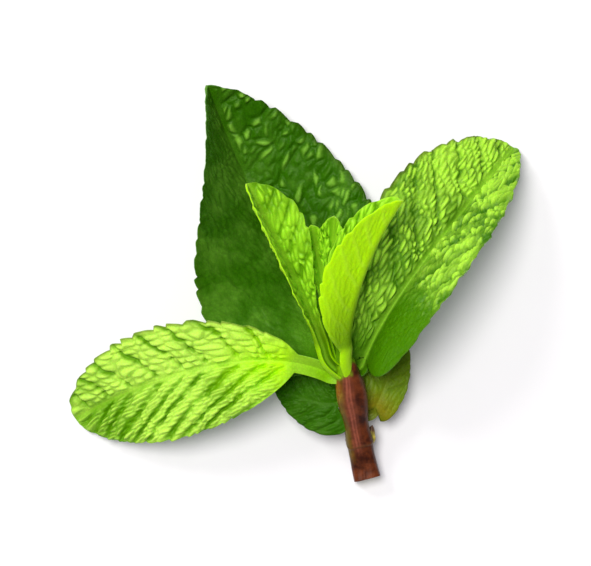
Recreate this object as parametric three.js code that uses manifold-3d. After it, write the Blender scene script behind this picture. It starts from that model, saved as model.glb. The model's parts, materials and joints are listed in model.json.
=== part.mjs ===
// A sprig of spearmint: the cut top of a shoot, lying on a table. Millimetres, +Z up, the table at z = 0.
//
// A mint shoot carries its leaves in opposite pairs, each pair crosswise to the one below. The sprig holds a
// short square stem, three grown leaves that spread from its leaf node, two small leaves from the buds below
// them, and, at the end of the shoot, a pair of young folded leaves round the shoot tip.
// Leaves and stem are placed from the leaf node, where the stem carries the three grown leaves.
import * as THREE from "three";
import { mergeVertices } from "three/addons/utils/BufferGeometryUtils.js";
import Module from "manifold-3d";

// The leaf node's place in plan, which puts the middle of the sprig's outline over the origin.
const LEAF_NODE = [7.68, -12.94, 0];

// What all leaves share.
const BLADE = 0.62; // thickness of a leaf blade
const PRESSED_BLADE = 0.56; // height that is left of it where the table presses it flat
const BLUNT_TIP = 0.35; // half width of a leaf where it ends
const PETIOLE_SHARE = 0.7; // a petiole's half width, as a share of the midrib's depth at the leaf's foot
const RIB_REACH = 0.9; // half width of the midrib under the blade
const RIB_LOSS = 0.6; // share of the midrib's depth that it loses on its way to the tip
const TOOTHLESS = 0.1; // share of a blade next to its petiole that has no teeth
const TOOTH_TIP = 0.75; // where a tooth's tip lies between two notches
const TOOTH_LEAN = 0.6; // how far a tooth points forward for each millimetre it stands out
const TOOTH_DEPTH = 6; // the larger, the nearer to the margin the teeth stay
const VEINED = 0.8; // share of a leaf's length that its side veins start from
const VEIN_LEAN = 1.0; // how far a side vein runs forward for each millimetre it runs out
const RELIEF_WIDTH = 3; // half width of a blade from which on its relief and its teeth are at full height
const WAVE_TURN = 9; // radians of a margin's wave along the blade
const WAVE_OFFSET = 2; // radians by which the waves of the two margins are out of step
const ACROSS = [0, 0.09, 0.32, 0.6, 0.84, 1]; // columns of a half blade, from the midrib to the margin
const FOOT_ROWS = [0.15, 0.4, 0.7]; // rows of the toothless stretch, as shares of it

// The stem: from its cut end on the table, up to the leaf node and the shoot tip.
const STEM = {
  path: [ // control points of a cubic curve
    [3.0, -15.9, 1.6],
    [1.4, -9.5, 1.7],
    [1.0, -4.5, 7.2],
    [-0.5, 2.2, 10.3],
  ],
  halfWidth: 2.05, // at the cut end
  topHalfWidth: 1.2, // under the shoot tip
  squareness: 3.4, // exponent of the section: 2 is round, larger is squarer
  groove: 0.05, // depth of the groove along each of the four faces, as a share of the half width
  swellings: [
    { at: 6.4, height: 0.2, reach: 1.6 }, // the lower node, where a pair of leaves was picked off
    { at: 14.5, height: 0.65, reach: 4.2 }, // the leaf node
  ],
  rings: 24,
  sides: 20,
};

// What is left of a side bud, on the right of the lower node.
const SIDE_BUD = {
  at: 6.4, // along the stem from its cut end
  out: 1.75, // from the stem's middle line
  halfSize: [0.9, 1.8, 0.95],
  lean: 0.3, // radians that it points away from the stem
};

// Leaves. midrib holds the four control points of a cubic curve, from the petiole's foot to the leaf's tip,
// and petiole is the bare length of it. halfWidth is the widest of the blade's left and right half, seen
// along the leaf; widest is the share of the blade's length where each of them is, and taper is lower on a
// blunter leaf. fold is how far each half rises from the midrib, at the base and the tip, and curl how much
// of that the margin loses. roll turns the blade about its midrib, at the base and the tip. veins is the
// number of side veins on a half, relief the height of the blade between them, wave that of the margin's
// waves, and rib the midrib's depth at the foot. Angles are in degrees.
const LEAVES = {
  leaf_left: {
    midrib: [[-2.8, -0.2, 9.0], [-12, 4.0, 13.4], [-26.5, 0.8, 9.4], [-40.4, -7.2, 0.7]],
    petiole: 5.2, halfWidth: [9.2, 7.9], widest: [0.5, 0.52], taper: 0.6,
    fold: [26, 18], curl: 26, roll: [-14, -5],
    teeth: 14, toothHeight: 0.8, veins: 6, relief: 0.42, wave: 0.35, rib: 1.3,
  },
  leaf_right: {
    midrib: [[2.1, 1.1, 7.4], [4.8, 9.4, 11.8], [13.8, 20.0, 12.0], [24.7, 33.3, 0.6]],
    petiole: 1.0, halfWidth: [10.7, 9.4], widest: [0.54, 0.36], taper: 0.66,
    fold: [46, 36], curl: 24, roll: [-20, -25],
    teeth: 14, toothHeight: 0.8, veins: 6, relief: 0.42, wave: 0.3, rib: 1.3,
  },
  leaf_back: {
    midrib: [[-0.6, 1.8, 7.0], [-6.2, 12, -2.8], [-15.5, 28, -2.2], [-20.2, 41.8, 5.5]],
    petiole: 1.4, halfWidth: [16.6, 15.0], widest: [0.35, 0.37], taper: 0.7,
    fold: [20, 44], curl: 14, roll: [-6, 34],
    teeth: 15, toothHeight: 0.8, veins: 7, relief: 0.42, wave: 0.3, rib: 1.3,
  },
  lower_leaf_left: {
    midrib: [[-1.4, -4.5, 5.9], [-3.8, -5.1, 6.2], [-7.2, -4.0, 5.2], [-11.4, -1.6, 3.4]],
    petiole: 0.4, halfWidth: [4.8, 4.2], widest: [0.12, 0.22], taper: 1.0,
    fold: [6, 8], curl: 14, roll: [-6, -4],
    teeth: 7, toothHeight: 0.45, veins: 4, relief: 0.22, wave: 0.15, rib: 1.0,
  },
  lower_leaf_right: {
    midrib: [[3.9, -6.0, 4.7], [5.1, -3.6, 5.6], [6.8, 0.8, 5.0], [8.4, 5.6, 2.6]],
    petiole: 0.4, halfWidth: [3.1, 3.2], widest: [0.5, 0.3], taper: 0.75,
    fold: [8, 8], curl: 14, roll: [6, 4],
    teeth: 7, toothHeight: 0.45, veins: 4, relief: 0.22, wave: 0.15, rib: 1.0,
  },
  young_leaf_left: {
    midrib: [[-3.4, 2.6, 11.1], [-5.6, 10, 13.0], [-9.9, 17.5, 17.0], [-14.2, 27.2, 19.0]],
    petiole: 1.0, halfWidth: [4.6, 5.0], widest: [0.6, 0.7], taper: 0.8,
    fold: [80, 42], curl: 10, roll: [10, 44],
    teeth: 9, toothHeight: 0.5, veins: 6, relief: 0.2, wave: 0.2, rib: 1.0,
  },
  young_leaf_right: {
    midrib: [[-0.7, 2.3, 11.9], [-0.6, 8.5, 15.4], [1.5, 17, 19.2], [7.2, 25.0, 20.7]],
    petiole: 1.0, halfWidth: [5.0, 6.4], widest: [0.6, 0.52], taper: 0.8,
    fold: [72, 66], curl: -12, roll: [-68, -62],
    teeth: 9, toothHeight: 0.5, veins: 6, relief: 0.2, wave: 0.2, rib: 1.0,
  },
};

// The shoot tip: the next leaves, still tiny and folded, which share their foot.
const SHOOT_TIP = [
  {
    midrib: [[-1.5, 3.9, 10.7], [-2.9, 9.0, 11.1], [-4.3, 15.5, 13.6], [-5.2, 21.0, 16.4]],
    petiole: 1.0, halfWidth: [2.1, 2.1], widest: [0.8, 0.8], taper: 0.8,
    fold: [60, 34], curl: 10, roll: [10, 10],
    teeth: 4, toothHeight: 0.3, veins: 4, relief: 0.05, wave: 0, rib: 0.9,
  },
  {
    midrib: [[-1.4, 4.0, 10.9], [-2.2, 10.0, 11.3], [-2.5, 16.5, 13.6], [-2.2, 22.2, 17.2]],
    petiole: 1.0, halfWidth: [2.1, 2.1], widest: [0.8, 0.8], taper: 0.8,
    fold: [60, 34], curl: 10, roll: [-20, -10],
    teeth: 4, toothHeight: 0.3, veins: 4, relief: 0.05, wave: 0, rib: 0.9,
  },
];

const COLOURS = {
  stem: 0x5a2a1c,
  leaf_left: 0x9fd044,
  leaf_right: 0x63a82c,
  leaf_back: 0x2c6a10,
  lower_leaf_left: 0x1f5208,
  lower_leaf_right: 0x5a7a12,
  young_leaf_left: 0x86c832,
  young_leaf_right: 0x9ade14,
  shoot_tip: 0x9ade14,
};

const UP = new THREE.Vector3(0, 0, 1);

const wasm = await Module();
wasm.setup();

const vector = (point) => new THREE.Vector3(...point);
const blend = ([from, to], share) => from + (to - from) * share;
const radians = THREE.MathUtils.degToRad;

// The curve's point at a share of its length, with its direction and the two directions square to it:
// side points to the left of the heading and up away from the table, both then turned by a roll.
function frameAt(curve, share, roll = 0) {
  const along = curve.getTangentAt(share);
  const side = new THREE.Vector3().crossVectors(UP, along).normalize().applyAxisAngle(along, roll);
  const up = new THREE.Vector3().crossVectors(along, side);
  return { point: curve.getPointAt(share), along, side, up };
}

// The saw edge of a margin, from -0.5 in the notches to 0.5 at the teeth's tips.
function saw(count, blade) {
  const place = (count * (blade - TOOTHLESS)) / (1 - TOOTHLESS);
  const phase = place - Math.floor(place + 1e-9);
  return (phase < TOOTH_TIP ? phase / TOOTH_TIP : (1 - phase) / (1 - TOOTH_TIP)) - 0.5;
}

// The upper surface of a leaf. share runs along the midrib, and across from -1 to 1 between the margins.
function upperSurface(leaf) {
  const midrib = new THREE.CubicBezierCurve3(...leaf.midrib.map(vector));
  const length = midrib.getLength();
  const petiole = leaf.petiole / length;
  const bend = radians(leaf.curl) / leaf.halfWidth[0];
  const veinGap = (VEINED * length) / leaf.veins;

  const bladeShare = (share) => Math.max(0, (share - petiole) / (1 - petiole));
  const halfWidthAt = (blade, across) => {
    const half = across > 0 ? 0 : 1;
    const widest = leaf.widest[half];
    const swell = (leaf.taper * widest) / (1 - widest);
    const towardsTip = Math.max(0, (1 - blade) / (1 - widest)) ** leaf.taper;
    const bladeWidth = leaf.halfWidth[half] * (blade / widest) ** swell * towardsTip;
    return Math.hypot(bladeWidth, PETIOLE_SHARE * leaf.rib * (1 - blade), BLUNT_TIP);
  };

  // What a tooth adds to the blade at its margin.
  const bite = (blade, across, halfWidth) => {
    if (blade <= TOOTHLESS) return 0;
    const nearMargin = Math.abs(across) ** TOOTH_DEPTH * Math.min(1, halfWidth / RELIEF_WIDTH);
    return nearMargin * leaf.toothHeight * saw(leaf.teeth, blade);
  };

  // The blade's height over its folded halves: pillows between the side veins, and the margin's waves.
  const heightOf = (blade, across, halfWidth) => {
    if (blade === 0) return 0;
    const vein = (blade * length - VEIN_LEAN * Math.abs(across) * halfWidth) / veinGap;
    const pillow = Math.sin(Math.PI * vein) ** 2 * Math.sin(Math.PI * Math.abs(across));
    const wave = across ** 4 * Math.sin(WAVE_TURN * blade + WAVE_OFFSET * Math.sign(across));
    return Math.min(1, halfWidth / RELIEF_WIDTH) * (leaf.relief * pillow + leaf.wave * wave);
  };

  // A point of the upper surface, and the direction that a half blade faces there.
  const at = (share, across) => {
    const blade = bladeShare(share);
    const halfWidth = halfWidthAt(blade, across);
    const tooth = bite(blade, across, halfWidth);
    const out = Math.abs(across) * halfWidth + tooth;
    const fold = radians(blend(leaf.fold, share));
    const slope = across === 0 ? 0 : fold - bend * out;
    const sideways = (Math.sin(fold) - Math.sin(fold - bend * out)) / bend;
    const raised = (Math.cos(fold - bend * out) - Math.cos(fold)) / bend;
    const frame = frameAt(midrib, share, radians(blend(leaf.roll, share)));
    const normal = frame.up.clone().multiplyScalar(Math.cos(slope));
    normal.addScaledVector(frame.side, -Math.sign(across) * Math.sin(slope));
    const point = frame.point
      .addScaledVector(frame.side, Math.sign(across) * sideways)
      .addScaledVector(frame.up, raised)
      .addScaledVector(normal, heightOf(blade, across, halfWidth))
      .addScaledVector(frame.along, TOOTH_LEAN * tooth);
    return { point, normal };
  };

  const thicknessAt = (share, across) => {
    const out = Math.abs(across) * halfWidthAt(bladeShare(share), across);
    const rib = (leaf.rib - BLADE) * (1 - RIB_LOSS * share);
    return BLADE + rib * Math.exp(-((out / RIB_REACH) ** 2));
  };
  return { at, thicknessAt, petiole };
}

// Where a leaf's rows lie along its midrib: some in the petiole and the toothless stretch, then a notch and
// a tip for each tooth.
function rowsOf(leaf, petiole) {
  const blades = FOOT_ROWS.map((share) => TOOTHLESS * share);
  for (let k = 0; k < leaf.teeth; k++)
    for (const phase of [0, TOOTH_TIP]) blades.push(TOOTHLESS + ((1 - TOOTHLESS) * (k + phase)) / leaf.teeth);
  blades.push(1);
  return [0, 0.5 * petiole, petiole, ...blades.map((blade) => petiole + (1 - petiole) * blade)];
}

// A closed body between two grids of points that match: the upper one faces up, and a wall joins their edges.
// Both are split into triangles alike, along the diagonals that run outwards from the midrib to the tip.
function closedSheet(upper, lower) {
  const rows = upper.length;
  const columns = upper[0].length;
  const size = rows * columns;
  const top = (i, j) => i * columns + j;
  const under = (i, j) => size + i * columns + j;
  const index = [];
  const quad = (a, b, c, d) => index.push(a, b, c, a, c, d);
  for (let i = 0; i + 1 < rows; i++)
    for (let j = 0; j + 1 < columns; j++) {
      const corners = [[i, j], [i + 1, j], [i + 1, j + 1], [i, j + 1]];
      if (j < (columns - 1) / 2) corners.push(corners.shift());
      quad(...corners.map((corner) => top(...corner)));
      const [a, b, c, d] = corners.map((corner) => under(...corner));
      index.push(a, c, b, a, d, c);
    }
  for (let i = 0; i + 1 < rows; i++) {
    quad(top(i, 0), under(i, 0), under(i + 1, 0), top(i + 1, 0));
    quad(top(i, columns - 1), top(i + 1, columns - 1), under(i + 1, columns - 1), under(i, columns - 1));
  }
  for (let j = 0; j + 1 < columns; j++) {
    quad(top(0, j), top(0, j + 1), under(0, j + 1), under(0, j));
    quad(top(rows - 1, j), under(rows - 1, j), under(rows - 1, j + 1), top(rows - 1, j + 1));
  }
  const points = [...upper.flat(), ...lower.flat()];
  return new THREE.BufferGeometry().setFromPoints(points).setIndex(index);
}

// A leaf as a closed blade. Where it would sink into the table it is pressed flat on it.
function leafGeometry(leaf) {
  const surface = upperSurface(leaf);
  const columns = [...ACROSS.slice(1).reverse().map((a) => -a), ...ACROSS];
  const upper = [];
  const lower = [];
  for (const share of rowsOf(leaf, surface.petiole)) {
    const places = columns.map((across) => surface.at(share, across));
    const topRow = places.map(({ point }) => point);
    const underRow = places.map(({ point, normal }, j) =>
      point.clone().addScaledVector(normal, -surface.thicknessAt(share, columns[j])),
    );
    underRow.forEach((point, j) => {
      if (point.z >= 0) return;
      point.z = 0;
      topRow[j].z = Math.max(topRow[j].z, PRESSED_BLADE);
    });
    upper.push(topRow);
    lower.push(underRow);
  }
  return closedSheet(upper, lower);
}

// A closed tube of rings with the same number of points, ended by fans.
function closedTube(rings) {
  const sides = rings[0].length;
  const centre = (ring) =>
    ring.reduce((sum, point) => sum.add(point), new THREE.Vector3()).divideScalar(sides);
  const index = [];
  const last = (rings.length - 1) * sides;
  const startCentre = rings.length * sides;
  for (let j = 0; j < sides; j++) {
    const next = (j + 1) % sides;
    for (let i = 0; i < last; i += sides) {
      index.push(i + j, i + next, i + sides + next);
      index.push(i + j, i + sides + next, i + sides + j);
    }
    index.push(startCentre, next, j);
    index.push(startCentre + 1, last + j, last + next);
  }
  const points = [...rings.flat(), centre(rings[0]), centre(rings.at(-1))];
  return new THREE.BufferGeometry().setFromPoints(points).setIndex(index);
}

// The radius of a square with rounded corners and a shallow groove along each face.
function squareRadius(angle) {
  const [x, y] = [Math.abs(Math.cos(angle)), Math.abs(Math.sin(angle))];
  const rounded = (x ** STEM.squareness + y ** STEM.squareness) ** (-1 / STEM.squareness);
  return rounded * (1 - STEM.groove * Math.cos(2 * angle) ** 2);
}

// The stem is square, swells at its nodes, and lies flat on the table at its foot.
function stemGeometry() {
  const line = new THREE.CubicBezierCurve3(...STEM.path.map(vector));
  const length = line.getLength();
  const rings = [];
  for (let i = 0; i <= STEM.rings; i++) {
    const share = i / STEM.rings;
    const { point, side, up } = frameAt(line, share);
    let halfWidth = blend([STEM.halfWidth, STEM.topHalfWidth], share);
    for (const { at, height, reach } of STEM.swellings)
      halfWidth += height * Math.exp(-(((share * length - at) / reach) ** 2));
    const ring = [];
    for (let j = 0; j < STEM.sides; j++) {
      const angle = (2 * Math.PI * j) / STEM.sides;
      const radius = halfWidth * squareRadius(angle);
      const corner = point
        .clone()
        .addScaledVector(side, -radius * Math.cos(angle))
        .addScaledVector(up, radius * Math.sin(angle));
      corner.z = Math.max(0, corner.z);
      ring.push(corner);
    }
    rings.push(ring.reverse());
  }
  return joined(closedTube(rings), sideBudGeometry(line, length));
}

function sideBudGeometry(line, length) {
  const { point, along, side } = frameAt(line, SIDE_BUD.at / length);
  const place = point.addScaledVector(side, -SIDE_BUD.out);
  return new THREE.SphereGeometry(1, 12, 8)
    .scale(...SIDE_BUD.halfSize)
    .rotateZ(Math.atan2(along.y, along.x) - Math.PI / 2 - SIDE_BUD.lean)
    .translate(place.x, place.y, place.z);
}

// A closed geometry as a manifold-3d solid.
function solid(geometry) {
  const bare = geometry.clone().deleteAttribute("normal").deleteAttribute("uv");
  const merged = mergeVertices(bare, 1e-3);
  return new wasm.Manifold(
    new wasm.Mesh({
      numProp: 3,
      vertProperties: merged.attributes.position.array,
      triVerts: new Uint32Array(merged.index.array),
    }),
  );
}

// Closed geometries that run into each other, as one.
function joined(...geometries) {
  const mesh = geometries.map(solid).reduce((whole, piece) => whole.add(piece)).getMesh();
  return new THREE.BufferGeometry()
    .setAttribute("position", new THREE.BufferAttribute(mesh.vertProperties, 3))
    .setIndex(new THREE.BufferAttribute(mesh.triVerts, 1));
}

const sprig = new THREE.Group();
sprig.position.set(...LEAF_NODE);

function addNode(name, geometry) {
  const material = new THREE.MeshStandardMaterial({ color: COLOURS[name], roughness: 0.5, metalness: 0 });
  const mesh = new THREE.Mesh(geometry, material);
  mesh.name = name;
  sprig.add(mesh);
}

addNode("stem", stemGeometry());
for (const [name, leaf] of Object.entries(LEAVES)) addNode(name, leafGeometry(leaf));
addNode("shoot_tip", joined(...SHOOT_TIP.map(leafGeometry)));

const part = new THREE.Group();
part.add(sprig);
export default part;
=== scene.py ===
"""The looks of a mint sprig that lies on a table: its leaves, shoot tip and stem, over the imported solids.

The solids give the form. Each leaf here runs along the same midrib, with the same fold and curl and nearly
the same margins, and adds what a solid can't hold: a thin blade, rounded teeth, the midrib's groove and keel,
the side veins and the pillows between them. Leaves and stem are worked out in millimetres from the leaf node,
and made in metres in the frame's own place.
"""

import json
import math
from dataclasses import dataclass

import bpy
import numpy as np
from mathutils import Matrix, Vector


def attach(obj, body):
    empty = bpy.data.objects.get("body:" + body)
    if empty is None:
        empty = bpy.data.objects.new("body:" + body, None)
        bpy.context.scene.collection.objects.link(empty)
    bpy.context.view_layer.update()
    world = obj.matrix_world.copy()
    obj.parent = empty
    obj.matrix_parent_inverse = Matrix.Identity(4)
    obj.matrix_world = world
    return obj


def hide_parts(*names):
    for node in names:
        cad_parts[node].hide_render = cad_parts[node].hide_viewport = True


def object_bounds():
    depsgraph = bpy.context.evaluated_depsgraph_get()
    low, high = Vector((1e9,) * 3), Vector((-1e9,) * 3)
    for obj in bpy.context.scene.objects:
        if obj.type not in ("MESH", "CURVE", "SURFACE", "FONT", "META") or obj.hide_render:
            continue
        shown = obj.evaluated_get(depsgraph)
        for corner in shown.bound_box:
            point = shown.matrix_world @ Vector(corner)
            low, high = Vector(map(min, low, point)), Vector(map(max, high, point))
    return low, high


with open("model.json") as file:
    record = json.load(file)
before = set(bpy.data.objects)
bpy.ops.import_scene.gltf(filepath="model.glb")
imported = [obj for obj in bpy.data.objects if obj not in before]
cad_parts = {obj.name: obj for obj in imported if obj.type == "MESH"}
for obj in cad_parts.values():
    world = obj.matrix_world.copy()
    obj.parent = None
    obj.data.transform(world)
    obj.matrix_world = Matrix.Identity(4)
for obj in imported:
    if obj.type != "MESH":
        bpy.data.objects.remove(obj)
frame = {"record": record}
cad_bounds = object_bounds()

MM = 0.001
LEAF_NODE = np.array([7.68, -12.94, 0.0])  # where the stem carries the three grown leaves, in plan
UP = np.array([0.0, 0.0, 1.0])
CURVE_STEPS = 2000  # points by which a curve's length is measured
LATTICE = 64  # cells after which a seeded pattern repeats

# The form that all leaves share with the solids.
BLADE = 0.62  # thickness of a solid's blade
PETIOLE_SHARE = 0.7  # a petiole's half width, as a share of the midrib's depth at the leaf's foot
BLUNT_TIP = 0.35  # half width of a leaf where it ends
RIB_REACH = 0.9  # half width of the midrib under the blade
RIB_LOSS = 0.6  # share of the midrib's depth that it loses on its way to the tip
TOOTHLESS = 0.1  # share of a blade next to its petiole that has no teeth
TOOTH_TIP = 0.75  # where a tooth's tip lies between two notches
TOOTH_LEAN = 0.6  # how far a tooth points forward for each millimetre it stands out
TOOTH_DEPTH = 6  # the larger, the nearer to the margin the teeth stay
TOOTH_STAGGER = 0.45  # how far the teeth of the two margins are out of step, in teeth
TOOTH_WANDER = 0.18  # how unevenly they are spaced
TOOTH_HEIGHTS = (0.5, 1.2)  # the lowest and the highest of them, as shares of the leaf's own height
TOOTH_BACK = 1.7  # the larger, the rounder a tooth's back
VEINED = 0.8  # share of a leaf's length that its side veins start from
RELIEF_WIDTH = 3  # half width of a blade from which on its relief and its teeth are at full height
WAVE_TURN = 9  # radians of a margin's wave along the blade
WAVE_OFFSET = 2  # radians by which the waves of the two margins are out of step

# What only the fine blade has, in millimetres.
THIN = 0.28  # thickness of the blade between its veins
THIN_EDGE = 0.3  # share of that left at the margin
ROUND_TIP = 0.02  # share of the blade over which the tip closes
CREASE = 0.4  # half width over which a blade turns from one half to the other at the midrib
MIDRIB_DEPTH = 0.3  # of the groove along the midrib's upper side
MIDRIB_REACH = 0.3
VEIN_DEPTH = 0.2  # of the groove along a side vein
FURROW_REACH = 0.42  # half width of the darker stretches along a side vein
VEIN_REACH = 0.3
VEIN_KEEL = 0.24  # how far a side vein stands out of the under face
NET_KEEL = 0.07  # and how far the small veins between the pillows do
VEIN_ARCH = 0.03  # how much a side vein turns forward on its way out
VEIN_WANDER = 0.1  # how unevenly the side veins are spaced
VEIN_SWAY = 0.1  # how far a side vein strays from its line, as a share of the gap to the next
PILLOW_SWAY = 0.45  # how far the rows of pillows stray, in pillows
HALVES_APART = 31  # cells between the patterns of the two halves, so that they differ
STRIP_PART = 1.0  # the relief's height in the middle between two side veins
PILLOW_PART = 1.2  # the same in the middle of a pillow
RELIEF_LOW = 0.8  # how much of both lies below the smooth blade
FURROW_SHADE = 0.45  # painted shade: how much of the pale colour a furrow loses
VALLEY_SHADE = 0.4  # and how much the valleys between pillows lose, also as painted shade
SMOOTH_LEFT = 0.3  # share of the relief that a smooth area keeps
SMOOTH_FADE = 0.1  # half of the share of the blade over which it ends
FULL_RELIEF = 0.42  # the grown leaves' relief, for which the grooves and keels above are given
FOOT_ROWS = 16  # rows of a petiole's foot, which runs into the stem
FOOT_FLARE = 0.35  # how much wider a petiole gets there
FOOT_WIDTH = 4.5  # half width over which the foot's colour fades
KEEL_EXTRA = 0.15  # how much deeper than in the solid a petiole is


def smooth_step(low, high, value):
    share = np.clip((value - low) / (high - low), 0, 1)
    return share * share * (3 - 2 * share)


def bump(value, at, reach):
    return np.exp(-(((value - at) / reach) ** 2))


def blend(ends, share):
    return ends[0] + (ends[1] - ends[0]) * share


def length_of(vectors):
    return np.linalg.norm(vectors, axis=-1, keepdims=True)


def unit(vectors):
    return vectors / np.maximum(length_of(vectors), 1e-12)


# ---------------------------------------------------------------- the sprig's driving sizes


@dataclass
class Leaf:
    """A leaf. midrib holds the four control points of a cubic curve, from the petiole's foot to the tip.

    half_width is the widest of the left and right half, seen along the leaf, and widest the share of the
    blade's length where each of them is. fold is how far each half rises from the midrib at the base and
    the tip, curl how much of that the margin loses, and roll turns the blade about its midrib. Angles are
    in degrees and lengths in millimetres.
    """

    midrib: list
    petiole: float
    half_width: tuple
    widest: tuple
    taper: float
    fold: tuple
    curl: float
    roll: tuple
    teeth: int
    tooth_height: float
    veins: int
    relief: float
    wave: float
    rib: float
    rows: int = 280
    half_columns: int = 60
    pillow_rows: float = 2  # rows of pillows between two side veins
    pillow_length: float = 1.6
    quilting: tuple = (1.0, 1.0)  # how strongly the left and the right half are quilted
    smooth_base: tuple = (0.0, 0.0)  # share of each half, from its petiole, that stays nearly smooth
    tooth_share: tuple = (0.7, 0.7)  # how much of the teeth's height is left on each half
    dark_edge: tuple = (0.5, 0.5)  # how much of the edge colour the teeth of each half take: painted shade on the grown leaves, a pale rim on the young ones
    pale_rib: float = 1.0  # how clearly the midrib's upper side shows
    furrow: tuple = (1.0, 1.0)  # how deep the side veins of each half lie, and how much painted shade their furrows get
    painted_light: tuple = (1.0, 1.0)  # painted light: how much of the pillows' pale, lit colour each half shows
    painted_highlights: tuple = (0.3, 0.3)  # painted highlights: how much paler some of the pillows are than the others
    painted_tip_shade: float = 0.0  # painted shade: how much of the pale colour the tip loses, or painted light that it gains where it is negative
    foot_reach: float = 0.3  # share of the blade that has some of its foot's colour
    vein_lean: tuple = (0.95, 0.95)  # how far a side vein runs forward for each millimetre out
    stalk: float = 1.0  # how wide the petiole is
    lobe: float = 0.0  # how far the margins reach back beyond the blade's foot
    pale_under: float = 1.0  # how much of the under face's own colour shows
    foot_at: float = None  # where the petiole leaves the stem, as a share of it; None is the nearest place
    seed: int = 1


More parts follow.
